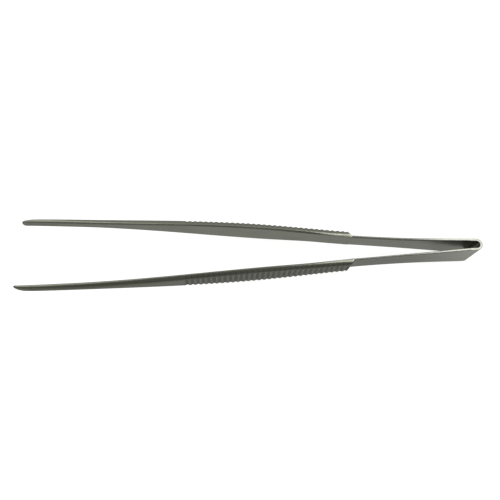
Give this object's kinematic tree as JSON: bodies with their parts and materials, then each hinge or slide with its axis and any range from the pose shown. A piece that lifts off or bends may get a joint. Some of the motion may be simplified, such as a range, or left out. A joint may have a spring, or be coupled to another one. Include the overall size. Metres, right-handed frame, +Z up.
{
  "type": "straight planting tweezers",
  "caption": "Long straight planting tweezers: two slim tapering arms with cross-grooved grips, joined by a narrow U-bent spring strip.",
  "frame": {"origin": "below the middle of the length, level with the lowest edge of the butt, with the tweezers lying on their side", "axes": "+X runs along the tweezers towards the butt, +Y is the way the upper arm opens, +Z is up, across the width of the strip"},
  "size_m": [0.25, 0.0398, 0.0185],
  "materials": {
    "spring_strip": "satin spring strip with polished edges",
    "forged_arm": "satin forged steel"
  },
  "bodies": {
    "bow": {"spring_bow": "spring_strip"},
    "upper": {"upper_leaf": "spring_strip", "upper_grip": "forged_arm", "upper_shank": "forged_arm"},
    "lower": {"lower_leaf": "spring_strip", "lower_grip": "forged_arm", "lower_shank": "forged_arm"}
  },
  "joints": [
    {"name": "upper_flex", "type": "hinge", "parent": "bow", "child": "upper", "pos_m": [0.096, 0.00395, 0.00925], "axis": [0, 0, 1], "range_deg": [0, 4.56], "stiffness_Nm_per_rad": 9},
    {"name": "lower_flex", "type": "hinge", "parent": "bow", "child": "lower", "pos_m": [0.096, -0.00395, 0.00925], "axis": [0, 0, -1], "range_deg": [0, 4.56], "stiffness_Nm_per_rad": 9}
  ],
  "couplings": [
    {"joint": "lower_flex", "follows": "upper_flex", "ratio": 1}
  ]
}
